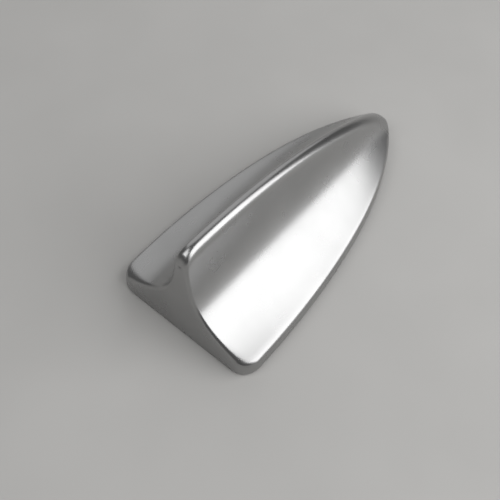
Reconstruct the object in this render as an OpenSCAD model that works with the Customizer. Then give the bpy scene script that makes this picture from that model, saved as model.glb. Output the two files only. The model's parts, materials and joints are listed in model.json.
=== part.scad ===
// Shark fin aerial for a vehicle roof.
// A satin chromed cover closes over a base plate that carries the aerial coil,
// its metal sail and a small amplifier board. It is glued down on a foam pad.
// Millimetres. X runs to the nose, Y to the left, Z up, zero on the underside.

/* [Outer form] */
// Length of the cover from tail to nose
fin_l = 150; // [145:1:165]
// Width of the cover at the tail
base_w = 74.4; // [72:0.2:82]
// Height of the cover from its rim to the top of the spine
fin_h = 54.8; // [53:0.2:62]
// Height of the upright skirt round the rim
skirt_h = 7.5; // [6.5:0.1:8.5]
// Half thickness of the rounded spine
spine_r = 3.3; // [3.1:0.1:4]
// How sharply the flank hollows at the tail
tail_hollow = 4.7; // [3.8:0.1:5]
// How sharply the flank hollows at the nose
nose_hollow = 1.4; // [0.8:0.1:2]
// Radius of the two tail corners seen from above
corner_r = 9.2; // [7:0.1:11]
// Radius that rounds the tail face into the flanks
edge_r = 1.2; // [0.8:0.1:1.6]
// Radius that rounds the tail end of the spine
spine_end_r = 4; // [3:0.1:5]
// Forward lean of the tail face for each millimetre of height
tail_lean = 0.1; // [0.05:0.01:0.15]
// Thickness of the cover wall
wall = 2.2; // [1.8:0.1:2.4]

/* [Base and seal] */
// Thickness of the rubber seal under the cover rim
seal_t = 1.2; // [1:0.1:1.6]
// How far the seal reaches in under the base plate
seal_w = 4.6; // [4.2:0.1:5.5]
// Thickness of the base plate
plate_t = 2.5; // [2.4:0.1:3]
// Width of the adhesive foam ring
pad_w = 14; // [10:1:16]
// Gap between the base plate and the cover wall
fit_gap = 0.4; // [0.3:0.05:0.5]
// Radius of the cable way through the grommet
cable_r = 2.6; // [2.2:0.1:3]

/* [Fixings] */
// Radius of the screw shanks
screw_r = 1.05; // [0.9:0.05:1.2]
// Length of the screws that hold the cover
cover_screw_l = 6.5; // [5.5:0.1:7]
// How far the board screws go into their posts
board_screw_in = 4; // [3:0.1:4.4]
// Radius of the screw heads
head_r = 2; // [1.8:0.1:2.2]
// Height of the screw heads
head_h = 1.2; // [1:0.1:1.3]
// Radius of the bosses inside the cover
boss_r = 3; // [2.6:0.1:3.2]
// Radius of the posts under the board
post_r = 2.5; // [2.2:0.1:2.8]

/* [Board] */
// Distance from the tail to the board
board_x = 30; // [28:1:32]
// Length of the circuit board
board_l = 80; // [76:1:84]
// Width of the circuit board
board_w = 28; // [26:1:30]
// Thickness of the circuit board
board_t = 1.6; // [1.4:0.1:1.8]
// Height of the posts that carry the board
post_h = 3; // [2.8:0.1:3.4]

/* [Parts on the board] */
// Length, width and height of the cable clamp
clamp_l = 7; // [6:0.5:8]
clamp_w = 8; // [7:0.5:9]
clamp_h = 5; // [4.6:0.1:6]
// Length, width and height of the shield can
can_l = 18; // [14:1:20]
can_w = 10; // [8:0.5:10.5]
can_h = 3.6; // [3:0.1:4.2]
// Radius and height of the electrolytic capacitor
cap_can_r = 2.5; // [2:0.1:3]
cap_can_h = 5; // [4:0.1:5.8]
// Radius and height of the choke
choke_r = 3.5; // [3:0.1:3.8]
choke_h = 4; // [3.4:0.1:5]

/* [Aerial] */
// Height of the coil axis over the board
rod_over = 10.7; // [10:0.1:11.5]
// Height of the lower edge of the sail over the coil axis
sail_over = 6.2; // [6:0.1:7]
// Length of the coil between its two end discs
coil_l = 42; // [38:1:44]
// Radius of the rod that carries the coil
rod_r = 3.5; // [3:0.1:3.8]
// Radius of the coil wire
wire_r = 0.5; // [0.4:0.05:0.6]
// Number of turns in the coil
turns = 13; // [10:1:15]
// Thickness of the metal sail
sail_t = 0.5; // [0.4:0.1:0.6]

/* [Hidden] */

// body of the amplifier chip
chip_l = 5;
chip_w = 4;
chip_h = 1.5;
chip_y = -9;
// levels
plate_top = seal_t + plate_t;
board_z = plate_top + post_h;
board_top = board_z + board_t;
rod_z = board_top + rod_over;
sail_z = rod_z + sail_over;
// plan
plan_bulge = 0.16;
plan_taper = 0.763;
nose_blunt = 7.7;
nose_end = 0.965;
// side and sections
ridge_fall = 0.85;
dome_power = 10;
// stations and ring steps of the skin
n_fillet = 5;
n_len = 25;
n_up = 18;
// clearances
hole_gap = 0.05;
pin_gap = 0.1;
// thickness of the wall measured level and measured upright
side_wall = 0.9 * wall;
over_wall = 0.8 * wall;
// places measured from the tail
board_end = board_x + board_l;
stand_x = board_x + 10;
stand_l = 20;
coil_x0 = stand_x + stand_l;
coil_x1 = coil_x0 + coil_l;
cable_x = 18;
sail_x0 = 14;
foam_x = 20;
foam_l = 24;
// heights and thicknesses of small parts
sink_h = head_h + 0.1;
disc_t = 1.6;
disc_r = rod_r + 2.1;
foot_t = 1.5;
sheet_t = 0.4;
spring_t = 0.3;
pin_r = 0.9;
stake_r = 1;
foam_t = 0.9;
sail_in = 4;
wind_r = rod_r + wire_r + pin_gap;
// widths and thicknesses of the grommet round the cable way
lip_w = 3.6;
neck_w = 1.9;
collar_w = 3.4;
mouth_w = 1.2;
lip_t = 0.9;
collar_t = 0.6;
mouth_t = 1.8;
// earth plate short of the board's ends and clear of the posts
earth_in = 6;
earth_gap = 0.8;
// earth spring: where it bends, where it ends, its width and its place from the tail
spring_foot = 5;
spring_rise = 9;
spring_end = 13;
spring_w = 4;
spring_x = board_x + 38;
// depth of the sponge strips and how far they hang from the sail's edge
foam_h = 4;
foam_drop = 5;
// cover bosses as shares of the length and of the half width there, and the room round them
boss_share = [[0.133, 0.64], [0.693, 0.71]];
boss_at = [for (q = boss_share) [fin_l * q[0], half_w(q[0]) * q[1]]];
boss_room = 0.4;
// distance of the posts from the board's edges, and their places from its tail end
post_in = 4;
post_at = [for (x = [post_in, board_l - post_in]) [x, board_w / 2 - post_in]];
stake_x = [14, board_l - 20];
pin_x = [stand_x - board_x + 3, coil_x0 - board_x - 4, coil_x1 - board_x + 2.5];
can_x = coil_x0 - board_x + 4;
chip_x = can_x + can_l + 4;

// half width of the plan, t runs from 0 at the tail to 1 at the nose
function half_w(t) = base_w / 2 * (1 + plan_bulge * t - plan_taper * t * t)
  * sqrt(1 - pow(min(t, 0.9995), nose_blunt));
// height of the spine above the rim
function spine_z(t) = skirt_h + (fin_h - skirt_h) * pow(max(1 - t * t, 0.0004), ridge_fall);
// half thickness of the spine, growing into a dome at the nose
function cap_r(t) = min(half_w(t), spine_r + (half_w(t) - spine_r) * pow(t, dome_power));
function hollow(t) = tail_hollow + (nose_hollow - tail_hollow) * t;
// half width of the section at station t and share u of the height over the skirt
function flank(t, u) = let (b = half_w(t), c = cap_r(t), k = hollow(t),
    q = max(2, 2 * (spine_z(t) - skirt_h) / c))
  c * sqrt(max(0, 1 - pow(u, q))) + (b - c) * (exp(-k * u) - exp(-k)) / (1 - exp(-k));
function section_w(t, z) = z <= skirt_h ? half_w(t)
  : flank(t, min(1, (z - skirt_h) / (spine_z(t) - skirt_h)));
// height of the outside at station t and half width y, by halving
function skin_z(t, y, lo, hi, n) = n == 0 ? lo : let (m = (lo + hi) / 2)
  section_w(t, m) > y ? skin_z(t, y, m, hi, n - 1) : skin_z(t, y, lo, m, n - 1);
// radius that closes the tail, by share of height
function tail_r(u) = edge_r + (corner_r - edge_r) * exp(-u / 0.07)
  + (spine_end_r - edge_r) * pow(u, 14);
// ring steps, close together at the skirt and at the spine
function step_u(j) = let (s = j / n_up) s * s * (3 - 2 * s);
// stations after the tail rounding, close together at the nose
function step_t(i) = let (s = i / n_len) 1 - pow(1 - s, 1.7);

// one point of the outside: row i, ring step j, side sg
function out_pt(i, j, sg) = let (
    u = step_u(max(0, j)), r = tail_r(u),
    f = i < n_fillet ? 90 * (1 - i / n_fillet) : 0,
    x = i < n_fillet ? r * (1 - sin(f)) : r + (fin_l - r) * step_t(i - n_fillet),
    cut = i < n_fillet ? r * (1 - cos(f)) : 0, t = x / fin_l,
    z = j < 0 ? 0 : skirt_h + (spine_z(t) - skirt_h) * u,
    y = max(0, flank(t, u) - cut * (1 - pow(u, 14))))
  [x + tail_lean * z * (1 - t), sg * y, seal_t + z - cut * pow(u, 14)];
// one point of the inside
function in_pt(i, j, sg) = let (
    u = step_u(max(0, j)), r = max(0.4, tail_r(u) - wall),
    f = i < n_fillet ? 90 * (1 - i / n_fillet) : 0,
    x = wall + (i < n_fillet ? r * (1 - sin(f))
      : r + (fin_l * nose_end - wall - r) * step_t(i - n_fillet)),
    cut = i < n_fillet ? r * (1 - cos(f)) : 0, t = x / fin_l,
    top = spine_z(t) - 2 * wall,
    z = j < 0 ? 0 : skirt_h * 0.5 + (top - skirt_h * 0.5) * u,
    y = max(0.5, section_w(t, z + over_wall) - side_wall - min(cut, 0.9 + cut * (1 - u))))
  [x + tail_lean * z * (1 - t), j == n_up ? 0 : sg * y, seal_t + z];
function out_row(i) = concat([for (j = [-1:n_up]) out_pt(i, j, -1)],
  [for (j = [n_up - 1:-1:-1]) out_pt(i, j, 1)]);
function in_row(i) = concat([for (j = [-1:n_up]) in_pt(i, j, -1)],
  [for (j = [n_up - 1:-1:-1]) in_pt(i, j, 1)]);

module place() {
  translate([-fin_l / 2, 0, 0]) children();
}

// outline of the cover rim seen from above
module plan() {
  rows = [for (i = [0:n_fillet + n_len]) out_pt(i, -1, 1)];
  n = len(rows);
  polygon(concat([for (p = rows) [p[0], p[1]]],
    [for (i = [n - 1:-1:0]) [rows[i][0], -rows[i][1]]]));
}

module skin() {
  n = n_fillet + n_len + 1;
  m = 2 * n_up + 3;
  k = n * m;
  pts = concat([for (i = [0:n - 1]) each out_row(i)], [for (i = [0:n - 1]) each in_row(i)]);
  outside = [for (i = [0:n - 2], j = [0:m - 2]) each
    [[i * m + j, i * m + j + 1, (i + 1) * m + j + 1], [i * m + j, (i + 1) * m + j + 1, (i + 1) * m + j]]];
  inside = [for (i = [0:n - 2], j = [0:m - 2]) each
    [[k + i * m + j, k + (i + 1) * m + j + 1, k + i * m + j + 1],
     [k + i * m + j, k + (i + 1) * m + j, k + (i + 1) * m + j + 1]]];
  ends = concat([for (j = [0:n_up]) each quad(m - 1 - j, m - 2 - j, j + 1, j)],
    [for (j = [0:n_up]) each quad((n - 1) * m + j, (n - 1) * m + j + 1, n * m - 2 - j, n * m - 1 - j)],
    [for (j = [0:n_up]) each quad(k + j, k + j + 1, k + m - 2 - j, k + m - 1 - j)],
    [for (j = [0:n_up]) each quad(k + n * m - 1 - j, k + n * m - 2 - j,
      k + (n - 1) * m + j + 1, k + (n - 1) * m + j)]);
  rim = concat(
    [for (i = [0:n - 2]) each quad(i * m, (i + 1) * m, k + (i + 1) * m, k + i * m)],
    [for (i = [0:n - 2]) each quad(k + i * m + m - 1, k + (i + 1) * m + m - 1,
      (i + 1) * m + m - 1, i * m + m - 1)],
    quad(0, k, k + m - 1, m - 1),
    quad(n * m - 1, k + n * m - 1, k + (n - 1) * m, (n - 1) * m));
  polyhedron(pts, concat(outside, inside, ends, rim));
}
// a four-sided face as two triangles, or one where two corners are the same point
function quad(a, b, c, d) = b == c ? [[a, b, d]] : [[a, b, c], [a, c, d]];

// chromed plastic moulding with four bosses for the screws
module cover() {
  color([0.75, 0.75, 0.74]) place() difference() {
    union() {
      skin();
      for (p = boss_at, s = [-1, 1]) {
        top = skin_z(p[0] / fin_l, p[1] + boss_r, 0, fin_h, 14) - 0.5;
        translate([p[0], s * p[1], plate_top]) cylinder(r = boss_r, h = seal_t + top - plate_top);
      }
    }
    for (p = boss_at, s = [-1, 1]) {
      top = skin_z(p[0] / fin_l, p[1] + boss_r, 0, fin_h, 14) - 0.5;
      translate([p[0], s * p[1], plate_top - 1])
        cylinder(r = screw_r + hole_gap, h = seal_t + top - plate_top - 0.2);
    }
  }
}

// rubber ring between the cover rim and the roof
module weather_seal() {
  color([0.08, 0.08, 0.08]) place() linear_extrude(seal_t) difference() {
    offset(delta = -0.3) plan();
    offset(delta = -seal_w) plan();
  }
}

// double-sided adhesive foam, a ring inside the seal
module adhesive_pad() {
  color([0.16, 0.16, 0.17]) place() linear_extrude(seal_t) difference() {
    offset(delta = -seal_w - 0.6) plan();
    offset(delta = -seal_w - pad_w) plan();
    translate([cable_x, 0]) circle(r = 8);
  }
}

// plain cylinder hole down through a plate
module bore(x, y, r, z0, z1) {
  translate([x, y, z0]) cylinder(r = r, h = z1 - z0);
}

// moulded tray that everything stands on
module base_plate() {
  color([0.10, 0.10, 0.11]) place() difference() {
    union() {
      translate([0, 0, seal_t]) linear_extrude(plate_t) intersection() {
        offset(delta = -side_wall - fit_gap) plan();
        translate([wall + fit_gap, -base_w])
          square([fin_l * nose_end - wall - 2 * fit_gap, 2 * base_w]);
      }
      for (p = post_at, s = [-1, 1]) bore(board_x + p[0], s * p[1], post_r, seal_t + 1, board_z);
      for (x = stake_x) bore(board_x + x, 0, stake_r, seal_t + 1, plate_top + sheet_t + 0.8);
    }
    for (p = boss_at, s = [-1, 1]) {
      bore(p[0], s * p[1], screw_r + 0.2, seal_t - 1, plate_top + 1);
      bore(p[0], s * p[1], head_r + 0.3, seal_t - 1, seal_t + sink_h);
    }
    for (p = post_at, s = [-1, 1])
      bore(board_x + p[0], s * p[1], screw_r + hole_gap, board_z - board_screw_in - 0.6, board_z + 1);
    bore(cable_x, 0, cable_r + neck_w, seal_t - 1, plate_top + 1);
  }
}

// pan head screw, head down at z = 0 and shank up
module screw(len) {
  difference() {
    cylinder(r = head_r, h = head_h);
    for (a = [0, 90]) rotate([0, 0, a]) translate([-1.2, -0.3, -1]) cube([2.4, 0.6, 1.7]);
  }
  cylinder(r = screw_r, h = head_h + len);
}

module cover_screws() {
  color([0.55, 0.56, 0.58]) place() for (p = boss_at, s = [-1, 1])
    translate([p[0], s * p[1], seal_t + sink_h - head_h]) screw(cover_screw_l);
}

module board_screws() {
  color([0.55, 0.56, 0.58]) place() for (p = post_at, s = [-1, 1])
    translate([board_x + p[0], s * p[1], board_top + head_h]) rotate([180, 0, 0])
      screw(board_t + board_screw_in);
}

// rubber grommet that the aerial cable leaves through
module cable_grommet() {
  color([0.07, 0.07, 0.07]) place() translate([cable_x, 0, 0]) rotate_extrude() polygon([
    [cable_r, seal_t - lip_t], [cable_r + lip_w, seal_t - lip_t], [cable_r + lip_w, seal_t],
    [cable_r + neck_w, seal_t], [cable_r + neck_w, plate_top], [cable_r + collar_w, plate_top],
    [cable_r + collar_w, plate_top + collar_t], [cable_r + mouth_w, plate_top + mouth_t],
    [cable_r, plate_top + mouth_t]]);
}

// tinned steel plate that couples the board to the roof
module earth_plate() {
  hw = board_w / 2 - post_in - post_r - earth_gap;
  color([0.62, 0.62, 0.60]) place() difference() {
    translate([board_x + earth_in, -hw, plate_top]) cube([board_l - 2 * earth_in, 2 * hw, sheet_t]);
    for (x = stake_x) bore(board_x + x, 0, stake_r + pin_gap, plate_top - 1, plate_top + 2);
  }
}

// bent brass strip from the plate up to the board
module earth_spring() {
  z0 = plate_top + sheet_t;
  z1 = board_z - spring_t;
  lap = spring_t / 2;
  color([0.78, 0.62, 0.32]) place() translate([spring_x, spring_w / 2, 0]) rotate([90, 0, 0])
    linear_extrude(spring_w) polygon([[0, z0], [spring_foot, z0], [spring_rise, z1], [spring_end, z1],
      [spring_end, board_z], [spring_rise - lap, board_z], [spring_foot - lap, z0 + spring_t],
      [0, z0 + spring_t]]);
}

module circuit_board() {
  color([0.10, 0.32, 0.18]) place() difference() {
    translate([board_x, -board_w / 2, board_z]) cube([board_l, board_w, board_t]);
    for (p = post_at, s = [-1, 1])
      bore(board_x + p[0], s * p[1], screw_r + 0.15, board_z - 1, board_top + 1);
    for (p = boss_at, s = [-1, 1]) bore(p[0], s * p[1], boss_r + boss_room, board_z - 1, board_top + 1);
    for (x = pin_x) bore(board_x + x, 0, pin_r + pin_gap, board_z - 1, board_top + 1);
  }
}

// brass clamp that takes the braid of the cable
module cable_terminal() {
  color([0.80, 0.66, 0.36]) place() translate([board_x + 1, 0, board_top]) difference() {
    translate([0, -clamp_w / 2, 0]) cube([clamp_l, clamp_w, clamp_h]);
    translate([-1, 0, 3]) rotate([0, 90, 0]) cylinder(r = 1.6, h = clamp_l + 2);
    translate([-1, -1.2, 3]) cube([clamp_l + 2, 2.4, clamp_h]);
  }
}

// folded tin box over the radio input stage, open below
module shield_can() {
  color([0.72, 0.72, 0.70]) place() translate([board_x + can_x, -board_w / 2 + 1.5, board_top])
    difference() {
      cube([can_l, can_w, can_h]);
      translate([spring_t, spring_t, -1])
        cube([can_l - 2 * spring_t, can_w - 2 * spring_t, can_h + 1 - spring_t]);
      for (i = [0:3], k = [0:1]) translate([can_l * (i + 1) / 5, can_w * (k + 1) / 3, can_h - 1])
        cylinder(r = 0.7, h = 3);
    }
}

module amplifier_chip() {
  color([0.06, 0.06, 0.07]) place() translate([board_x + chip_x, chip_y, board_top + 0.15])
    cube([chip_l, chip_w, chip_h]);
}

// eight tinned legs of the chip
module chip_pins() {
  color([0.70, 0.70, 0.70]) place() for (i = [0:3], s = [0, 1])
    translate([board_x + chip_x + 0.55 + 1.2 * i, chip_y + s * chip_w, board_top]) mirror([0, 1 - s, 0])
      rotate([90, 0, 90]) linear_extrude(0.4) polygon([[0, 0.6], [0.6, 0.6], [0.6, 0],
        [1.3, 0], [1.3, 0.2], [0.8, 0.2], [0.8, 0.8], [0, 0.8]]);
}

// places of the small chips on the board
small_at = [[18, 9], [22, 9], [18, -9], [22, -9], [30, 8], [54, 3], [64, -3], [64, 3], [57, 11], [61, 11]];
cap_at = [68, 8.5];
cap_foot_h = 0.8;
flange_t = 0.8;
drum_r = 1.6;
choke_at = [45, 7.5];

module ceramic_capacitors() {
  color([0.66, 0.54, 0.38]) place() for (i = [0:2:8])
    translate([board_x + small_at[i][0], small_at[i][1], board_top]) cube([2, 1.25, 1]);
}

module chip_resistors() {
  color([0.09, 0.09, 0.10]) place() for (i = [1:2:9])
    translate([board_x + small_at[i][0], small_at[i][1], board_top]) cube([2, 1.25, 0.5]);
}

// electrolytic capacitor in its aluminium can
module filter_capacitor() {
  color([0.74, 0.75, 0.76]) place() translate([board_x + cap_at[0], cap_at[1], board_top + cap_foot_h]) {
    difference() {
      cylinder(r = cap_can_r, h = cap_can_h);
      for (a = [0, 90]) rotate([0, 0, a]) translate([-1.5, -0.1, cap_can_h - 0.2]) cube([3, 0.2, 1]);
    }
  }
}

module capacitor_foot() {
  color([0.08, 0.08, 0.08]) place() translate([board_x + cap_at[0], cap_at[1], board_top])
    translate([-cap_can_r - 0.1, -cap_can_r - 0.1, 0])
      cube([2 * cap_can_r + 0.2, 2 * cap_can_r + 0.2, cap_foot_h]);
}

// ferrite drum of the choke
module choke_core() {
  color([0.16, 0.15, 0.15]) place() translate([board_x + choke_at[0], choke_at[1], board_top]) {
    cylinder(r = choke_r, h = flange_t);
    cylinder(r = drum_r, h = choke_h);
    translate([0, 0, choke_h - flange_t]) cylinder(r = choke_r, h = flange_t);
  }
}

// copper winding between the two flanges
module choke_winding() {
  layers = 5;
  rise = (choke_h - 2 * flange_t) / layers;
  color([0.72, 0.42, 0.22]) place() translate([board_x + choke_at[0], choke_at[1], board_top])
    rotate_extrude() polygon(concat([[drum_r, flange_t]],
      [for (i = [0:layers - 1]) each [[choke_r - 0.7, flange_t + rise * i],
        [choke_r - 0.5, flange_t + rise * (i + 0.5)]]],
      [[choke_r - 0.7, choke_h - flange_t], [drum_r, choke_h - flange_t]]));
}

// moulded stand for the coil and the sail, pinned to the board
module aerial_carrier() {
  color([0.85, 0.84, 0.80]) place() difference() {
    union() {
      translate([stand_x, -1.5, board_top]) cube([stand_l, 3, sail_z + sail_in - board_top]);
      translate([stand_x, -5, board_top]) cube([stand_l, 10, foot_t]);
      translate([coil_x0 - disc_t, 0, rod_z]) rotate([0, 90, 0]) cylinder(r = disc_r, h = disc_t);
      translate([coil_x0 - 1, 0, rod_z]) rotate([0, 90, 0]) cylinder(r = rod_r, h = coil_l + 2);
      translate([coil_x1, 0, rod_z]) rotate([0, 90, 0]) cylinder(r = disc_r, h = disc_t);
      translate([coil_x1, -3, board_top]) cube([5, 6, foot_t]);
      translate([coil_x1, -2, board_top]) cube([disc_t, 4, rod_z - board_top]);
      for (x = pin_x) bore(board_x + x, 0, pin_r, board_z, board_top + 1);
    }
    translate([stand_x - 1, -sail_t / 2 - hole_gap, sail_z])
      cube([stand_l + 3, sail_t + 2 * hole_gap, 2 * sail_in]);
  }
}

// coil wire: soldered to the sail, wound on the rod, then down to the board
function turn_pt(a) = [coil_x0 + 1.6 + (coil_l - 4) * a / (360 * turns),
  wind_r * sin(a), rod_z + wind_r * cos(a)];
wire_pts = concat(
  [for (z = [3, 0.4]) [coil_x0 + 0.8, sail_t / 2 + wire_r + 0.02, sail_z + z]],
  [for (a = [0:22.5:360 * turns + 180]) turn_pt(a)],
  [[coil_x1 - 1.3, 0, rod_z - wind_r - 0.8], [coil_x1 - 1.3, 0, board_top + 0.02]]);
function unit(v) = v / norm(v);
function heading(i) = let (n = len(wire_pts))
  i == 0 ? unit(wire_pts[1] - wire_pts[0]) : i == n - 1 ? unit(wire_pts[n - 1] - wire_pts[n - 2])
  : unit(unit(wire_pts[i + 1] - wire_pts[i]) + unit(wire_pts[i] - wire_pts[i - 1]));
// side direction carried along the wire without twist
function sides(i, v) = i >= len(wire_pts) ? [] : let (h = heading(i), w = unit(v - h * (v * h)))
  concat([w], sides(i + 1, w));

module aerial_coil() {
  n = len(wire_pts);
  k = 6;
  side = sides(0, [1, 0, 0]);
  pts = [for (i = [0:n - 1]) let (h = heading(i), a = side[i], b = cross(h, a))
    for (j = [0:k - 1]) wire_pts[i] + wire_r * (cos(60 * j) * a + sin(60 * j) * b)];
  faces = concat(
    [for (i = [0:n - 2], j = [0:k - 1]) let (j2 = (j + 1) % k) each
      [[i * k + j, (i + 1) * k + j, (i + 1) * k + j2], [i * k + j, (i + 1) * k + j2, i * k + j2]]],
    [[for (j = [0:k - 1]) j]], [[for (j = [k - 1:-1:0]) (n - 1) * k + j]]);
  color([0.80, 0.50, 0.28]) place() polyhedron(pts, faces);
}

// stamped sheet that loads the top of the coil
function sail_top(x) = seal_t + spine_z(x / fin_l) - 2 * wall - 1.5;
module sail_plate() {
  x0 = sail_x0;
  x1 = coil_x0 + 2.2;
  color([0.70, 0.71, 0.70]) place() translate([0, sail_t / 2, 0]) rotate([90, 0, 0])
    linear_extrude(sail_t) polygon(concat([[x0, sail_z + 8], [stand_x, sail_z], [x1, sail_z]],
      [for (i = [0:8]) let (x = x1 + (x0 - x1) * i / 8) [x, sail_top(x)]]));
}

// two sponge strips that keep the sail from ringing in the blade
module sail_foam() {
  color([0.20, 0.20, 0.22]) place() for (s = [-1, 1])
    translate([foam_x, s < 0 ? -sail_t / 2 - foam_t : sail_t / 2, sail_top(foam_x + foam_l) - foam_drop])
      cube([foam_l, foam_t, foam_h]);
}

cover();
weather_seal();
adhesive_pad();
base_plate();
cover_screws();
cable_grommet();
earth_plate();
earth_spring();
circuit_board();
board_screws();
cable_terminal();
shield_can();
amplifier_chip();
chip_pins();
ceramic_capacitors();
chip_resistors();
filter_capacitor();
capacitor_foot();
choke_core();
choke_winding();
aerial_carrier();
aerial_coil();
sail_plate();
sail_foam();
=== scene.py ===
"""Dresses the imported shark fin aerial: a satin chromed fin over its seal, base plate and radio parts.

Metres, in the part's own frame: X to the nose, Y to the left, Z up, zero on the underside.
"""
import json
import math

import bmesh
import bpy
from mathutils import Matrix, Vector
from mathutils.bvhtree import BVHTree


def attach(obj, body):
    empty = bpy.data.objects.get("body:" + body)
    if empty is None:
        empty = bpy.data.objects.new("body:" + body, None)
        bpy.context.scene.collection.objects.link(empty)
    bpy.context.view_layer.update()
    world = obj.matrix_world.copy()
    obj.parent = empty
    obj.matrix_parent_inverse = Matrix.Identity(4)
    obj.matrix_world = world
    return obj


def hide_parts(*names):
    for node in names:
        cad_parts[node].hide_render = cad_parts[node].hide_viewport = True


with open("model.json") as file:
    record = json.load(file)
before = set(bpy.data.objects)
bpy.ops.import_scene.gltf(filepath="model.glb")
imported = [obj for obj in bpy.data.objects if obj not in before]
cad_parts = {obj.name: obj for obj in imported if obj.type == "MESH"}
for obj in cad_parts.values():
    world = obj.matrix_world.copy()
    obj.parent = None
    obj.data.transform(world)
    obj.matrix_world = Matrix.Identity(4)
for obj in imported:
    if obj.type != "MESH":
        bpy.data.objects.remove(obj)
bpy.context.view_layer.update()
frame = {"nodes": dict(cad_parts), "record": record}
nodes = frame["nodes"]
MM = 0.001

# sizes of the fin in millimetres, each a named input of the trees that grow its skins
FIN = {
    "Length": 150.0,
    "Width": 74.36,
    "Height": 54.8,
    "Skirt height": 7.5,
    "Spine radius": 3.3,
    "Tail hollow": 4.7,
    "Nose hollow": 1.9,
    "Tail corner radius": 8.8,
    "Tail edge radius": 1.6,
    "Spine end radius": 2.7,
    "Spine end droop": 5.5,
    "Spine end reach": 8.0,
    "Tail lean": 0.1,
    "Seal thickness": 1.2,
    "Skirt edge radius": 2.8,
    "Wall": 2.2,
}
# the plan swells by the first share, tapers by the second and ends in a nose of this power
SWELL, TAPER, BLUNT = 0.16, 0.763, 7.7
# power of the spine's fall to the nose, and of its late spread into the nose
SPINE_FALL, DOME = 0.82, 26.0
# share of the height in which the tail corner dies away, and how closely two roundings keep to the spine
CORNER_FADE, ROLL_HOLD, DROOP_HOLD = 0.07, 14.0, 6.0

TAIL = Vector((-FIN["Length"] / 2, 0.0, 0.0))
# levels of the inside in millimetres: base plate, board on its posts, coil rod and sail
PLATE, POST, BOARD = 2.5, 3.0, 1.6
PLATE_TOP = FIN["Seal thickness"] + PLATE
BOARD_TOP = PLATE_TOP + POST + BOARD
ROD_AXIS = BOARD_TOP + 10.7
SAIL_FOOT = ROD_AXIS + 6.2
# distances below which points are one
HAIR, SLIT = 0.002 * MM, 0.003 * MM


def at(x, y, z):
    """A place in metres from millimetres measured from the tail, the middle line and the underside."""
    return (TAIL + Vector((x, y, z))) * MM


# ---------------------------------------------------------------- camera


# direction of the photograph's view in degrees, its distance and offsets in millimetres
AZIMUTH, ELEVATION = -50.07, 58.44
DISTANCE, TO_RIGHT, TO_TOP = 340.0, 30.11, 34.74
# focal length and width of the photograph in its own pixels, and the sensor in millimetres
PHOTO_FOCUS, PHOTO_WIDTH, SENSOR = 784.0, 500.0, 36.0


def aim_camera():
    """The photograph's view: from behind the tail, to the right and well above."""
    azimuth = math.radians(AZIMUTH)
    elevation = math.radians(ELEVATION)
    back = Vector((
        math.sin(azimuth) * math.cos(elevation),
        -math.cos(azimuth) * math.cos(elevation),
        math.sin(elevation),
    ))
    right = Vector((math.cos(azimuth), math.sin(azimuth), 0.0))
    up = back.cross(right)
    camera = bpy.data.objects.new("camera", bpy.data.cameras.new("camera"))
    bpy.context.scene.collection.objects.link(camera)
    rim_at_tail = at(0.0, 0.0, FIN["Seal thickness"])
    camera.location = rim_at_tail + (right * TO_RIGHT + up * TO_TOP + back * DISTANCE) * MM
    camera.rotation_mode = "QUATERNION"
    camera.rotation_quaternion = Matrix((right, up, back)).transposed().to_quaternion()
    camera.data.sensor_width = SENSOR
    camera.data.lens = SENSOR * PHOTO_FOCUS / PHOTO_WIDTH
    camera.data.clip_start = 0.01
    camera.data.clip_end = 20.0
    bpy.context.scene.camera = camera


# ---------------------------------------------------------------- node trees


def add_node(tree, kind, **settings):
    """Adds a node and sets what is given: properties by name, inputs as a dict named values."""
    values = settings.pop("values", {})
    node = tree.nodes.new(kind)
    for name, value in settings.items():
        setattr(node, name, value)
    for name, value in values.items():
        if isinstance(value, bpy.types.NodeSocket):
            tree.links.new(value, node.inputs[name])
        else:
            node.inputs[name].default_value = value
    return node


class Field:
    """A number inside a node tree; arithmetic on it adds Math nodes."""

    def __init__(self, tree, socket):
        self.tree = tree
        self.socket = socket

    def math(self, operation, *others, clamp=False):
        node = add_node(self.tree, "ShaderNodeMath", operation=operation, use_clamp=clamp)
        for place, value in enumerate((self, *others)):
            if isinstance(value, Field):
                self.tree.links.new(value.socket, node.inputs[place])
            else:
                node.inputs[place].default_value = value
        return Field(self.tree, node.outputs[0])

    def __add__(self, other):
        return self.math("ADD", other)

    def __sub__(self, other):
        return self.math("SUBTRACT", other)

    def __mul__(self, other):
        return self.math("MULTIPLY", other)

    def __truediv__(self, other):
        return self.math("DIVIDE", other)

    def __pow__(self, other):
        return self.math("POWER", other)

    def __neg__(self):
        return self.math("MULTIPLY", -1.0)

    def __rsub__(self, other):
        return (-self) + other

    def __rtruediv__(self, other):
        return self ** -1.0 * other

    __radd__ = __add__
    __rmul__ = __mul__

    def least(self, other):
        return self.math("MINIMUM", other)

    def most(self, other):
        return self.math("MAXIMUM", other)

    def share(self, start, count):
        """Runs from 0 to 1 while this number goes from start to start + count."""
        return ((self - start) / count).math("ADD", 0.0, clamp=True)


def vector(tree, *fields):
    """Three numbers in millimetres as a vector in metres."""
    joined = add_node(tree, "ShaderNodeCombineXYZ")
    for place, field in enumerate(fields):
        tree.links.new((field * MM).socket, joined.inputs[place])
    return joined.outputs[0]


def new_tree(name, sizes):
    """A Geometry Nodes tree, its start geometry and one named input for each size."""
    tree = bpy.data.node_groups.new(name, "GeometryNodeTree")
    tree.interface.new_socket("Geometry", in_out="INPUT", socket_type="NodeSocketGeometry")
    tree.interface.new_socket("Geometry", in_out="OUTPUT", socket_type="NodeSocketGeometry")
    for label, value in sizes.items():
        socket = tree.interface.new_socket(label, in_out="INPUT", socket_type="NodeSocketFloat")
        socket.default_value = value
    given = add_node(tree, "NodeGroupInput")
    fields = {label: Field(tree, given.outputs[label]) for label in sizes}
    return tree, given.outputs["Geometry"], fields


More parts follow.
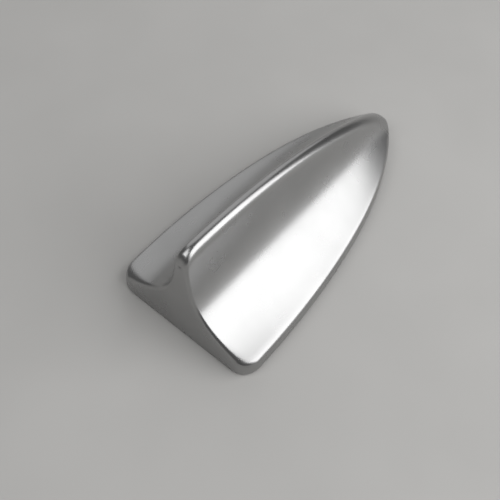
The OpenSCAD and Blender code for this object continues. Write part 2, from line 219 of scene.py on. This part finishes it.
def close_tree(tree, geometry, finish):
    """Ends a tree in Realize Instances and Set Material."""
    real = add_node(tree, "GeometryNodeRealizeInstances", values={"Geometry": geometry})
    dressed = add_node(tree, "GeometryNodeSetMaterial", values={"Geometry": real.outputs[0]})
    dressed.inputs["Material"].default_value = finish
    result = add_node(tree, "NodeGroupOutput")
    tree.links.new(dressed.outputs[0], result.inputs[0])


def grown(tree, sizes, start=None):
    """Runs a tree on a start mesh and gives the result as a plain mesh."""
    carrier = bpy.data.objects.new(tree.name, start or bpy.data.meshes.new(tree.name))
    bpy.context.scene.collection.objects.link(carrier)
    modifier = carrier.modifiers.new(tree.name, "NODES")
    modifier.node_group = tree
    for item in tree.interface.items_tree:
        if item.in_out == "INPUT" and item.name in sizes:
            modifier[item.identifier] = sizes[item.name]
    bpy.context.view_layer.update()
    ready = carrier.evaluated_get(bpy.context.evaluated_depsgraph_get())
    mesh = bpy.data.meshes.new_from_object(ready)
    bpy.data.objects.remove(carrier)
    return mesh


def dress(name, mesh, slot, *replaced, smooth=None):
    """Makes a finished piece that rides on the one rigid body."""
    mesh.name = name
    piece = bpy.data.objects.new(name, mesh)
    bpy.context.scene.collection.objects.link(piece)
    if smooth is not None:
        mesh.shade_smooth()
        mesh.set_sharp_from_angle(angle=math.radians(smooth))
    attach(piece, "root")
    if replaced:
        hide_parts(*replaced)
    return piece


# ---------------------------------------------------------------- materials


def paint(code):
    """A hex sRGB colour as linear RGBA."""
    channels = [int(code[i : i + 2], 16) / 255 for i in (1, 3, 5)]
    return [c / 12.92 if c <= 0.04045 else ((c + 0.055) / 1.055) ** 2.4 for c in channels] + [1.0]


def noise(tree, size, detail=2.0):
    """Cloudy noise with features of about size millimetres, on object coordinates."""
    place = add_node(tree, "ShaderNodeTexCoord")
    return add_node(tree, "ShaderNodeTexNoise", values={
        "Vector": place.outputs["Object"],
        "Scale": 1.0 / (size * MM),
        "Detail": detail,
    }).outputs[0]


def spread(tree, value, low, high, start=0.35, end=0.65):
    """Spreads noise over a range of values."""
    return add_node(tree, "ShaderNodeMapRange", values={
        "Value": value,
        "From Min": start,
        "From Max": end,
        "To Min": low,
        "To Max": high,
    }).outputs[0]


def blend_colours(tree, factor, first, second):
    """Two colours, or a colour and a socket, mixed by a factor."""
    mix = add_node(tree, "ShaderNodeMix", data_type="RGBA")
    tree.links.new(factor, mix.inputs[0])
    for place, colour in ((6, first), (7, second)):
        if isinstance(colour, str):
            mix.inputs[place].default_value = paint(colour)
        else:
            tree.links.new(colour, mix.inputs[place])
    return mix.outputs[2]


def finish(name, first, second, cloud, rough, grain, depth, **sockets):
    """A surface with cloudy colour, uneven gloss and a fine grain.

    cloud and grain are feature sizes in millimetres, depth is the height of the grain in millimetres,
    and rough is the lowest and highest roughness. A depth of 0 leaves the surface smooth.
    """
    made = bpy.data.materials.new(name)
    made.use_nodes = True
    tree = made.node_tree
    shader = tree.nodes["Principled BSDF"]
    colour = blend_colours(tree, spread(tree, noise(tree, cloud), 0.0, 1.0), first, second)
    tree.links.new(colour, shader.inputs["Base Color"])
    tree.links.new(spread(tree, noise(tree, cloud * 0.6), *rough), shader.inputs["Roughness"])
    if depth:
        relief = add_node(tree, "ShaderNodeBump", values={
            "Height": noise(tree, grain, 3.0),
            "Distance": depth * MM,
            "Strength": 1.0,
        })
        tree.links.new(relief.outputs[0], shader.inputs["Normal"])
    for label, value in sockets.items():
        shader.inputs[label.replace("_", " ")].default_value = value
    return made


# spacing of the board's tracks and depth of the foam's pits in millimetres
TRACK_PITCH, PIT_DEPTH = 3.2, 0.12


def board_lacquer():
    """Green solder lacquer with raised copper tracks showing lighter under it."""
    made = finish("green solder lacquer", "#17502C", "#1B5A33", 9.0, (0.28, 0.38), 0.5, 0.004)
    tree = made.node_tree
    shader = tree.nodes["Principled BSDF"]
    place = add_node(tree, "ShaderNodeTexCoord")
    cells = add_node(tree, "ShaderNodeTexVoronoi", feature="DISTANCE_TO_EDGE", values={
        "Vector": place.outputs["Object"],
        "Scale": 1.0 / (TRACK_PITCH * MM),
        "Randomness": 0.55,
    })
    track = spread(tree, cells.outputs["Distance"], 1.0, 0.0, 0.05, 0.09)
    plain = shader.inputs["Base Color"].links[0].from_socket
    tree.links.new(blend_colours(tree, track, plain, "#2F8048"), shader.inputs["Base Color"])
    return made


def closed_foam(name, first, second, cell):
    """Soft foam with open cells that pit the surface."""
    made = finish(name, first, second, 4.0, (0.85, 0.95), cell, 0.02)
    tree = made.node_tree
    shader = tree.nodes["Principled BSDF"]
    place = add_node(tree, "ShaderNodeTexCoord")
    cells = add_node(tree, "ShaderNodeTexVoronoi", values={
        "Vector": place.outputs["Object"],
        "Scale": 1.0 / (cell * MM),
    })
    relief = add_node(tree, "ShaderNodeBump", values={
        "Height": cells.outputs["Distance"],
        "Distance": PIT_DEPTH * MM,
        "Strength": 0.8,
    })
    tree.links.new(relief.outputs[0], shader.inputs["Normal"])
    return made


def make_finishes():
    """Every finish of the part by the record's slot name."""
    return {
        # satin chrome on plastic: an even grey sheen, soft at the edges of what it mirrors
        "cover_chrome": finish(
            "satin chrome", "#A4A4A4", "#A9A9A9", 22.0, (0.27, 0.29), 9.0, 0.0, Metallic=1.0),
        # dull black rubber with a talc-grey bloom
        "seal_rubber": finish("black rubber", "#101010", "#1B1B1A", 3.0, (0.6, 0.8), 0.4, 0.01),
        # charcoal double-sided foam, pitted
        "pad_foam": closed_foam("charcoal foam", "#232325", "#2C2C2E", 0.35),
        # black moulded plastic with a spark-eroded grain
        "base_plastic": finish(
            "grained black plastic", "#161617", "#1D1D1E", 12.0, (0.42, 0.55), 0.35, 0.015),
        # zinc plated steel, bluish and a little cloudy
        "screw_steel": finish(
            "zinc plated steel", "#B9BDC4", "#A7A9A8", 1.6, (0.25, 0.42), 0.3, 0.004, Metallic=1.0),
        # tinned sheet steel, soft grey with rolling marks
        "tinned_steel": finish(
            "tinned steel", "#C2C3C1", "#AEB0AF", 3.0, (0.28, 0.42), 0.25, 0.004, Metallic=1.0),
        # rolled spring brass
        "spring_brass": finish(
            "rolled brass", "#D8B45E", "#C79F4C", 2.5, (0.25, 0.4), 0.3, 0.004, Metallic=1.0),
        # solder lacquer with tracks
        "board_green": board_lacquer(),
        # matt moulded epoxy of the chips
        "chip_black": finish("moulded epoxy", "#141415", "#1C1C1D", 1.0, (0.5, 0.65), 0.12, 0.01),
        # tin dipped legs
        "pin_tin": finish("dipped tin", "#CFCFCC", "#B9BAB8", 0.6, (0.2, 0.35), 0.2, 0.003, Metallic=1.0),
        # fired ceramic, warm tan
        "cap_ceramic": finish("fired ceramic", "#B08C5C", "#A37F50", 0.8, (0.4, 0.55), 0.1, 0.004),
        # lacquered copper wire
        "coil_copper": finish(
            "lacquered copper", "#C97A45", "#B5652F", 2.0, (0.18, 0.3), 0.3, 0.003,
            Metallic=1.0, Coat_Weight=0.6, Coat_Roughness=0.1),
        # drawn aluminium can
        "cap_can": finish(
            "drawn aluminium", "#CBCDD0", "#BEC0C3", 1.2, (0.22, 0.34), 0.15, 0.003, Metallic=1.0),
        # dark sintered ferrite
        "choke_ferrite": finish("sintered ferrite", "#2A2827", "#343130", 0.7, (0.45, 0.6), 0.12, 0.01),
        # ivory moulded carrier
        "carrier_plastic": finish("ivory nylon", "#D9D5C8", "#CFCABB", 5.0, (0.38, 0.5), 0.5, 0.008),
        # open grey sponge
        "sponge": closed_foam("grey sponge", "#3A3A3E", "#47474B", 0.6),
    }


# ---------------------------------------------------------------- fin cover

# rows of the skin over the tail face, round its edge and along the fin
FACE_ROWS, TURN_ROWS, LONG_ROWS = 8, 12, 110
# steps up one side: skirt, its rounded edge, the hollow flank and the round spine
SKIRT_STEPS, EDGE_STEPS, FLANK_STEPS, SPINE_STEPS = 4, 5, 26, 18
SIDE_STEPS = SKIRT_STEPS + EDGE_STEPS + FLANK_STEPS + SPINE_STEPS
# how rows crowd at the nose and steps at the skirt, and the share of height where the spine's steps begin
ROW_CROWD, STEP_CROWD, SPINE_SHARE = 1.7, 1.3, 0.8


def half_width(t, size):
    """Half of the plan's width, t running from 0 at the tail to 1 at the nose."""
    swell = 1.0 + SWELL * t - TAPER * t * t
    return size["Width"] * 0.5 * swell * (1.0 - t ** BLUNT).most(0.0).math("SQRT")


def spine_rise(t, size):
    """Height of the spine over the skirt."""
    return (size["Height"] - size["Skirt height"]) * (1.0 - t * t).most(0.0004) ** SPINE_FALL


def hollow(t, size):
    """How sharply the flank hollows."""
    return size["Tail hollow"] + (size["Nose hollow"] - size["Tail hollow"]) * t


def section(t, size):
    """Half width, half thickness of the spine, hollow and roundness of the section at t."""
    b = half_width(t, size)
    c = (size["Spine radius"] + (b - size["Spine radius"]) * t ** DOME).least(b).most(0.001)
    q = (spine_rise(t, size) * 2.0 / c).most(2.0)
    return b, c, hollow(t, size), q


def flank(t, u, size):
    """Half width of the section at t and at share u of its height over the skirt."""
    b, c, k, q = section(t, size)
    dome = c * (1.0 - u ** q).most(0.0).math("SQRT")
    ebb = (-k).math("EXPONENT")
    sweep = (b - c) * ((-k * u).math("EXPONENT") - ebb) / (1.0 - ebb)
    return dome + sweep


def tail_corner(u, size):
    """Plan radius of the tail corner over its rolled edge, dying away up the flank."""
    return (size["Tail corner radius"] - size["Tail edge radius"]) * (u / -CORNER_FADE).math("EXPONENT")


def roll_radius(u, size):
    """Radius of the roll from the tail face into the flank, growing at the spine."""
    growth = size["Spine end radius"] - size["Tail edge radius"]
    return size["Tail edge radius"] + growth * u ** ROLL_HOLD


def round_drop(x, radius):
    """How far a quarter round of this radius has fallen at x from its end, as a share of the radius."""
    near = (1.0 - x / radius).math("ADD", 0.0, clamp=True)
    return 1.0 - (1.0 - near * near).most(0.0).math("SQRT")


def flank_lean(t, u, size):
    """How fast the section narrows with height at share u, as the surface's inward slope."""
    b, c, k, q = section(t, size)
    top = (1.0 - u ** q).most(0.0).math("SQRT").most(0.0001)
    dome = c * q * u ** (q - 1.0) / (top * 2.0)
    sweep = (b - c) * k * (-k * u).math("EXPONENT") / (1.0 - (-k).math("EXPONENT"))
    return -(dome + sweep)


def start_skin(name):
    """A tree with a flat grid, its row and step numbers, and the side of the fin."""
    tree, _, size = new_tree(name, FIN)
    rows = FACE_ROWS + TURN_ROWS + LONG_ROWS
    grid = add_node(tree, "GeometryNodeMeshGrid", values={
        "Size X": float(rows),
        "Size Y": float(2 * SIDE_STEPS),
        "Vertices X": rows + 1,
        "Vertices Y": 2 * SIDE_STEPS + 1,
    })
    place = add_node(tree, "GeometryNodeInputPosition")
    split = add_node(tree, "ShaderNodeSeparateXYZ", values={"Vector": place.outputs[0]})
    row = Field(tree, split.outputs[0]) + rows / 2
    across = Field(tree, split.outputs[1])
    step = SIDE_STEPS - across.math("ABSOLUTE")
    return tree, grid, size, row, step, across.math("SIGN")


def end_skin(tree, grid, x, y, z, flip, chrome):
    """Moves the grid to the form, closes its seams and ends the tree."""
    moved = add_node(tree, "GeometryNodeSetPosition", values={
        "Geometry": grid.outputs["Mesh"],
        "Position": vector(tree, x, y, z),
    })
    if flip:
        moved = add_node(tree, "GeometryNodeFlipFaces", values={"Mesh": moved.outputs[0]})
    sealed = add_node(tree, "GeometryNodeMergeByDistance", values={
        "Geometry": moved.outputs[0],
        "Distance": HAIR,
    })
    close_tree(tree, sealed.outputs[0], chrome)


def outer_skin(chrome):
    """The outside: skirt with a rounded edge, hollow flanks, round spine and flat tail face."""
    tree, grid, size, row, step, side = start_skin("Fin outside")
    face = row.share(0.0, FACE_ROWS)
    bend = (1.0 - row.share(FACE_ROWS, TURN_ROWS)) * (math.pi / 2)
    run = 1.0 - (1.0 - row.share(FACE_ROWS + TURN_ROWS, LONG_ROWS)) ** ROW_CROWD

    up_skirt = step.share(0.0, SKIRT_STEPS)
    up_edge = step.share(SKIRT_STEPS, EDGE_STEPS)
    up_flank = step.share(SKIRT_STEPS + EDGE_STEPS, FLANK_STEPS)
    up_spine = step.share(SIDE_STEPS - SPINE_STEPS, SPINE_STEPS)

    # share of height: even steps on the flank, then even turns round the spine
    roundness = section(run, size)[3]
    first_turn = (roundness / 2.0 * math.log(SPINE_SHARE)).math("EXPONENT").math("ARCSINE")
    turned = first_turn + (math.pi / 2 - first_turn) * up_spine
    over_spine = turned.math("SINE").least(1.0) ** (2.0 / roundness)
    on_spine = up_spine.math("GREATER_THAN", 0.0)
    low = (up_flank ** STEP_CROWD) * SPINE_SHARE
    u = low + (over_spine - low) * on_spine

    corner = tail_corner(u, size)
    roll_size = roll_radius(u, size)
    radius = roll_size + corner
    x = radius * (1.0 - bend.math("SINE")) + (size["Length"] - radius) * run
    t = (x / size["Length"]).least(1.0)

    # rounded edge between the skirt and the flank, tangent to both
    b, c, k, q = section(t, size)
    rise = spine_rise(t, size)
    ebb = (-k).math("EXPONENT")
    slope = rise * (1.0 - ebb) / ((b - c).most(0.001) * k)
    lie = slope.math("ARCTANGENT")
    edge = size["Skirt edge radius"].least(b * 0.5)
    centre = size["Skirt height"] - edge * lie.math("COSINE") / (1.0 + lie.math("SINE"))
    roll = (math.pi / 2 - lie) * up_edge
    y_low = b - edge + edge * roll.math("COSINE")
    z_low = centre * up_skirt + edge * roll.math("SINE")
    start = edge * lie.math("COSINE") * lie.math("SINE") / (1.0 + lie.math("SINE")) / rise
    v = start + (1.0 - start) * u
    on_flank = step.math("GREATER_THAN", SKIRT_STEPS + EDGE_STEPS + 0.5)
    wide = flank(t, v, size)
    y = y_low + (wide - y_low) * on_flank
    droop = size["Spine end droop"] * round_drop(x, size["Spine end reach"]) * v ** DROOP_HOLD
    z = z_low + (size["Skirt height"] + rise * v - droop - z_low) * on_flank

    # roll of the tail edge, square to the surface
    inward = flank_lean(t, v, size) / rise
    steep = (inward * inward + 1.0).math("SQRT") ** -1.0
    level = roll.math("COSINE") + (steep - roll.math("COSINE")) * on_flank
    upright = roll.math("SINE") + (-inward * steep - roll.math("SINE")) * on_flank
    roll_cut = roll_size * round_drop(x, roll_size)
    plan_cut = corner * (1.0 - bend.math("COSINE"))
    y = (y - plan_cut - roll_cut * level).most(0.0) * face * side
    z = z - roll_cut * upright
    x = x + size["Tail lean"] * z * (1.0 - t) - size["Length"] * 0.5
    z = z + size["Seal thickness"]
    end_skin(tree, grid, x, y, z, False, chrome)
    return grown(tree, FIN)


# the inside ends at this share of the length, in a slot of this half width in millimetres
INSIDE_END, SLOT_HALF = 0.965, 0.5
# shares of the wall by which the inside is raised and narrowed, and its least corner in millimetres
WALL_UP, WALL_IN, LEAST_CORNER = 0.8, 0.9, 0.4
# most that the inside gives way to the tail corner at the spine, in millimetres
CORNER_CUT = 0.9


def inner_skin(chrome):
    """The inside of the moulding, one wall in from the outside."""
    tree, grid, size, row, step, side = start_skin("Fin inside")
    face = row.share(0.0, FACE_ROWS)
    bend = (1.0 - row.share(FACE_ROWS, TURN_ROWS)) * (math.pi / 2)
    long_row = row.share(FACE_ROWS + TURN_ROWS, LONG_ROWS)
    run = 1.0 - (1.0 - long_row) ** ROW_CROWD
    nose = ((1.0 - long_row) * LONG_ROWS).math("MULTIPLY", 0.5, clamp=True)
    wall = size["Wall"]

    up_skirt = step.share(0.0, SKIRT_STEPS)
    climb = step.share(SKIRT_STEPS, SIDE_STEPS - SKIRT_STEPS)
    u = climb * climb * (3.0 - 2.0 * climb)
    radius = (tail_corner(u, size) + size["Tail edge radius"] - wall).most(LEAST_CORNER)
    x = wall + radius * (1.0 - bend.math("SINE"))
    x = x + (size["Length"] * INSIDE_END - wall - radius) * run
    cut = radius * (1.0 - bend.math("COSINE"))
    t = x / size["Length"]
    foot = size["Skirt height"] * 0.5
    rise = spine_rise(t, size)
    top = size["Skirt height"] + rise - wall * 2.0
    z = foot * up_skirt + (top - foot) * u
    height = ((z + wall * WALL_UP - size["Skirt height"]) / rise).math("ADD", 0.0, clamp=True)
    y = flank(t, height, size) - wall * WALL_IN - cut.least(CORNER_CUT + cut * (1.0 - u))
    y = y.most(SLOT_HALF) * face * nose * side
    x = x + size["Tail lean"] * z * (1.0 - t) - size["Length"] * 0.5
    z = z + size["Seal thickness"]
    end_skin(tree, grid, x, y, z, True, chrome)
    return grown(tree, FIN)


# places of the screw bosses from the tail and the middle line, the same on both sides
BOSSES = [(19.95, 23.99), (103.95, 19.07)]
# outer radius, pilot hole and how far the boss and its hole stop below what is over them
BOSS_RADIUS, PILOT_RADIUS, BOSS_CAP = 3.0, 1.1, 0.5
BOSS_SIDES = 40


def add_boss(form, centre, high):
    """Adds a boss from the base plate up, with a screw hole closed at its top, to a bmesh."""

    def ring(radius, z):
        if radius == 0.0:
            return [form.verts.new(at(centre[0], centre[1], z))]
        turns = [math.tau * i / BOSS_SIDES for i in range(BOSS_SIDES)]
        return [
            form.verts.new(at(centre[0] + radius * math.cos(a), centre[1] + radius * math.sin(a), z))
            for a in turns
        ]

    hole_top = high - BOSS_CAP
    outside = [ring(BOSS_RADIUS, PLATE_TOP), ring(BOSS_RADIUS, high), ring(0.0, high)]
    inside = [ring(PILOT_RADIUS, PLATE_TOP), ring(PILOT_RADIUS, hole_top), ring(0.0, hole_top)]
    for i in range(BOSS_SIDES):
        j = (i + 1) % BOSS_SIDES
        form.faces.new((outside[0][i], outside[0][j], outside[1][j], outside[1][i]))
        form.faces.new((outside[1][i], outside[1][j], outside[2][0]))
        form.faces.new((inside[0][i], inside[1][i], inside[1][j], inside[0][j]))
        form.faces.new((inside[1][i], inside[2][0], inside[1][j]))
        form.faces.new((outside[0][i], inside[0][i], inside[0][j], outside[0][j]))


# length of the nose tip that is welded in millimetres, how close, and how high over the rim its edges lie
TIP, TIP_WELD, RIM_BAND = 0.4, 0.03, 0.01


def make_cover(chrome):
    """Joins both skins at the rim and adds the four screw bosses."""
    outside = outer_skin(chrome)
    inside = inner_skin(chrome)
    form = bmesh.new()
    form.from_mesh(outside)
    above = BVHTree.FromBMesh(form)
    form.from_mesh(inside)
    tip = [point for point in form.verts if point.co.x > (FIN["Length"] / 2 - TIP) * MM]
    bmesh.ops.remove_doubles(form, verts=tip, dist=TIP_WELD * MM)
    bmesh.ops.dissolve_degenerate(form, edges=form.edges, dist=HAIR)
    foot = (FIN["Seal thickness"] + RIM_BAND) * MM
    rim = [e for e in form.edges if e.is_boundary and max(p.co.z for p in e.verts) < foot]
    bmesh.ops.bridge_loops(form, edges=rim)
    bmesh.ops.recalc_face_normals(form, faces=form.faces)
    for x, y in BOSSES:
        for side in (-1, 1):
            outermost = at(x, side * (y + BOSS_RADIUS), PLATE_TOP)
            skin = above.ray_cast(outermost, Vector((0, 0, 1)))[0]
            add_boss(form, (x, side * y), skin.z / MM - BOSS_CAP)
    mesh = bpy.data.meshes.new("fin_cover")
    form.to_mesh(mesh)
    form.free()
    mesh.materials.clear()
    mesh.materials.append(chrome)
    return dress("fin_cover", mesh, "cover_chrome", "cover", smooth=35)


# ---------------------------------------------------------------- screws and aerial wire

# cross recess pan head screw in millimetres
SCREW = {
    "Head radius": 2.0,
    "Head height": 1.2,
    "Head edge": 0.45,
    "Thread radius": 1.05,
    "Thread depth": 0.2,
    "Pitch": 0.8,
    "Point": 0.5,
    "Recess length": 2.4,
    "Recess width": 0.6,
    "Recess depth": 0.7,
}
# steps of the screw's profile over its face, round edge, side, back, thread and point
SCREW_FACE, SCREW_EDGE, SCREW_SIDE, SCREW_BACK, SCREW_THREAD, SCREW_POINT = 4, 6, 2, 3, 96, 4
SCREW_TURNS = 32
# the thread rises to its full depth in one part of this many, and ends in one of these
THREAD_IN, THREAD_OUT = 12.0, 8.0
# where the cover screws' heads lie, where the board screws stand, and how far both reach in
COVER_HEAD_FOOT, COVER_REACH = 1.3, 6.5
BOARD_SCREW_X, BOARD_SCREW_Y, BOARD_REACH = (34.0, 106.0), 10.0, 5.6


def outward(mesh):
    """Welds what lies within a hair, closes slits left by a cut and turns every face outward."""
    form = bmesh.new()
    form.from_mesh(mesh)
    bmesh.ops.remove_doubles(form, verts=form.verts, dist=SLIT)
    bmesh.ops.dissolve_degenerate(form, edges=form.edges, dist=HAIR)
    slits = [edge for edge in form.edges if edge.is_boundary]
    bmesh.ops.holes_fill(form, edges=slits, sides=0)
    bmesh.ops.recalc_face_normals(form, faces=form.faces)
    form.to_mesh(mesh)
    form.free()
    return mesh


def make_screws(name, length, places, turn, steel):
    """Screws on given places, driven up along Z, or turned about X by an angle."""
    sizes = dict(SCREW, Length=length)
    tree, spots, size = new_tree(name, sizes)
    rows = SCREW_FACE + SCREW_EDGE + SCREW_SIDE + SCREW_BACK + SCREW_THREAD + SCREW_POINT
    grid = add_node(tree, "GeometryNodeMeshGrid", values={
        "Size X": float(rows),
        "Size Y": 1.0,
        "Vertices X": rows + 1,
        "Vertices Y": SCREW_TURNS + 1,
    })
    place = add_node(tree, "GeometryNodeInputPosition")
    split = add_node(tree, "ShaderNodeSeparateXYZ", values={"Vector": place.outputs[0]})
    row = Field(tree, split.outputs[0]) + rows / 2
    angle = Field(tree, split.outputs[1]) * math.tau

    face = row.share(0.0, SCREW_FACE)
    bend = row.share(SCREW_FACE, SCREW_EDGE) * (math.pi / 2)
    start = SCREW_FACE + SCREW_EDGE
    side = row.share(start, SCREW_SIDE)
    back = row.share(start + SCREW_SIDE, SCREW_BACK)
    start = start + SCREW_SIDE + SCREW_BACK
    run = row.share(start, SCREW_THREAD)
    point = row.share(start + SCREW_THREAD, SCREW_POINT)

    edge = size["Head edge"]
    core = size["Thread radius"] - size["Thread depth"]
    shank = size["Length"] - size["Point"]
    z = edge * (1.0 - bend.math("COSINE")) + (size["Head height"] - edge) * side
    z = z + shank * run + size["Point"] * point
    turns = z / size["Pitch"] + angle / math.tau
    ridge = 1.0 - (turns.math("FRACT") * 2.0 - 1.0).math("ABSOLUTE")
    full = (run * THREAD_IN).least(1.0) * ((1.0 - run) * THREAD_OUT).least(1.0)
    radius = (size["Head radius"] - edge) * face + edge * bend.math("SINE")
    radius = radius - (size["Head radius"] - core) * back - core * point
    radius = radius + size["Thread depth"] * ridge * full
    moved = add_node(tree, "GeometryNodeSetPosition", values={
        "Geometry": grid.outputs["Mesh"],
        "Position": vector(tree, radius * angle.math("COSINE"), radius * angle.math("SINE"), z),
    })
    sealed = add_node(tree, "GeometryNodeMergeByDistance", values={
        "Geometry": moved.outputs[0],
        "Distance": HAIR,
    })
    solid = sealed.outputs[0]
    recess = (size["Recess length"], size["Recess width"])
    for across in (recess, recess[::-1]):
        bar = add_node(tree, "GeometryNodeMeshCube", values={
            "Size": vector(tree, *across, size["Recess depth"] * 2.0),
        })
        cut = add_node(tree, "GeometryNodeMeshBoolean", operation="DIFFERENCE", values={
            "Mesh 1": solid,
            "Mesh 2": bar.outputs["Mesh"],
        })
        solid = cut.outputs[0]
    copies = add_node(tree, "GeometryNodeInstanceOnPoints", values={
        "Points": spots,
        "Instance": solid,
        "Rotation": (turn, 0.0, 0.0),
    })
    close_tree(tree, copies.outputs[0], steel)
    points = bpy.data.meshes.new(name)
    points.from_pydata([at(*spot) for spot in places], [], [])
    return outward(grown(tree, sizes, points))


# path of the aerial's wire in millimetres: down the sail, round the rod and down to the board
WIRE = {
    "Wire radius": 0.5,
    "Coil radius": 4.1,
    "Coil start": 61.6,
    "Coil run": 39.46,
    "Turns": 13.5,
    "Sail lead": 2.6,
    "Sail gap": 0.77,
    "Step over": 0.8,
    "Step back": 0.36,
    "Step down": 0.8,
}
TURN_STEPS, LEAD_STEPS = 28, 4
WIRE_SIDES = 14
# how far the wire stays over the sail's foot and over the board, in millimetres
OVER_SAIL_FOOT, OVER_BOARD = 0.4, 0.02


def make_aerial_wire(copper):
    """One wire: a lead on the sail, the even turns of the coil and a lead into the board."""
    tree, _, size = new_tree("Aerial wire", WIRE)
    coil_steps = int(WIRE["Turns"] * TURN_STEPS)
    steps = coil_steps + 4 * LEAD_STEPS
    line = add_node(tree, "GeometryNodeCurvePrimitiveLine")
    path = add_node(tree, "GeometryNodeResampleCurve", values={
        "Curve": line.outputs[0],
        "Count": steps + 1,
    })
    step = Field(tree, add_node(tree, "GeometryNodeSplineParameter").outputs["Factor"]) * steps
    down_sail = step.share(0.0, LEAD_STEPS)
    step_over = step.share(LEAD_STEPS, LEAD_STEPS)
    coil = step.share(2 * LEAD_STEPS, coil_steps)
    step_back = step.share(2 * LEAD_STEPS + coil_steps, LEAD_STEPS)
    down_board = step.share(3 * LEAD_STEPS + coil_steps, LEAD_STEPS)
    turned = coil * size["Turns"] * math.tau
    reach = size["Coil radius"]
    x = size["Coil start"] - size["Step over"] * (1.0 - step_over)
    x = x + size["Coil run"] * coil - size["Step back"] * step_back - FIN["Length"] / 2
    y = size["Sail gap"] * (1.0 - step_over) + reach * turned.math("SINE")
    lead_foot = SAIL_FOOT + OVER_SAIL_FOOT
    z = lead_foot + size["Sail lead"] * (1.0 - down_sail)
    z = z - (lead_foot - ROD_AXIS - reach) * step_over - reach * (1.0 - turned.math("COSINE"))
    last_foot = ROD_AXIS - reach - size["Step down"]
    z = z - size["Step down"] * step_back - (last_foot - BOARD_TOP - OVER_BOARD) * down_board
    laid = add_node(tree, "GeometryNodeSetPosition", values={
        "Geometry": path.outputs[0],
        "Position": vector(tree, x, y, z),
    })
    round_wire = add_node(tree, "GeometryNodeCurvePrimitiveCircle", values={"Resolution": WIRE_SIDES})
    tree.links.new((size["Wire radius"] * MM).socket, round_wire.inputs["Radius"])
    drawn = add_node(tree, "GeometryNodeCurveToMesh", values={
        "Curve": laid.outputs[0],
        "Profile Curve": round_wire.outputs[0],
        "Fill Caps": True,
    })
    close_tree(tree, drawn.outputs[0], copper)
    return outward(grown(tree, WIRE))


# ---------------------------------------------------------------- stage and light


def lay_floor():
    """A plain pale floor."""
    form = bmesh.new()
    bmesh.ops.create_grid(form, x_segments=2, y_segments=2, size=3.0)
    mesh = bpy.data.meshes.new("floor")
    form.to_mesh(mesh)
    form.free()
    mesh.materials.append(
        finish("pale floor", "#B4B3B1", "#B7B6B4", 60.0, (0.7, 0.8), 2.0, 0.01))
    floor = bpy.data.objects.new("floor", mesh)
    bpy.context.scene.collection.objects.link(floor)


def softbox(name, place, target, width, height, glow):
    """A soft rectangular light; glow is how bright its face looks, 1 being white."""
    lamp = bpy.data.lights.new(name, "AREA")
    lamp.shape = "RECTANGLE"
    lamp.size = width
    lamp.size_y = height
    lamp.energy = glow * math.pi * width * height
    holder = bpy.data.objects.new(name, lamp)
    bpy.context.scene.collection.objects.link(holder)
    holder.location = place
    aim = Vector(target) - Vector(place)
    holder.rotation_mode = "QUATERNION"
    holder.rotation_quaternion = aim.to_track_quat("-Z", "Y")


def light_studio():
    """A tall bright panel on the right of the fin, a dimmer one over its left, and a grey room."""
    world = bpy.data.worlds.new("grey room")
    world.use_nodes = True
    world.node_tree.nodes["Background"].inputs["Color"].default_value = paint("#FFFFFF")
    world.node_tree.nodes["Background"].inputs["Strength"].default_value = 0.13
    bpy.context.scene.world = world
    softbox("right panel", (0.30, -0.70, 0.56), (0.0, 0.0, 0.03), 1.2, 1.15, 2.65)
    softbox("left panel", (0.55, 0.75, 0.60), (0.0, 0.0, 0.03), 1.3, 1.2, 0.62)
    softbox("rear panel", (-0.52, 0.20, 0.80), (-0.06, 0.0, 0.04), 0.62, 0.62, 1.9)
    bpy.context.scene.view_settings.view_transform = "Standard"


# ---------------------------------------------------------------- build

aim_camera()
lay_floor()
light_studio()
finishes = make_finishes()
slot_of = {part["node"]: part["material_slot"] for part in frame["record"]["subparts"]}
for name, node in nodes.items():
    for holder in node.material_slots:
        holder.material = finishes[slot_of[name]]
make_cover(finishes["cover_chrome"])

steel = finishes["screw_steel"]
sides = (-1, 1)
cover_spots = [(x, side * y, COVER_HEAD_FOOT) for x, y in BOSSES for side in sides]
cover_screws = make_screws("cover_screws_cut", COVER_REACH, cover_spots, 0.0, steel)
dress("cover_screws_cut", cover_screws, "screw_steel", "cover_screws", smooth=40)
board_head = BOARD_TOP + SCREW["Head height"]
board_spots = [(x, side * BOARD_SCREW_Y, board_head) for x in BOARD_SCREW_X for side in sides]
board_screws = make_screws("board_screws_cut", BOARD_REACH, board_spots, math.pi, steel)
dress("board_screws_cut", board_screws, "screw_steel", "board_screws", smooth=40)
aerial_wire = make_aerial_wire(finishes["coil_copper"])
dress("aerial_wire", aerial_wire, "coil_copper", "aerial_coil", smooth=60)
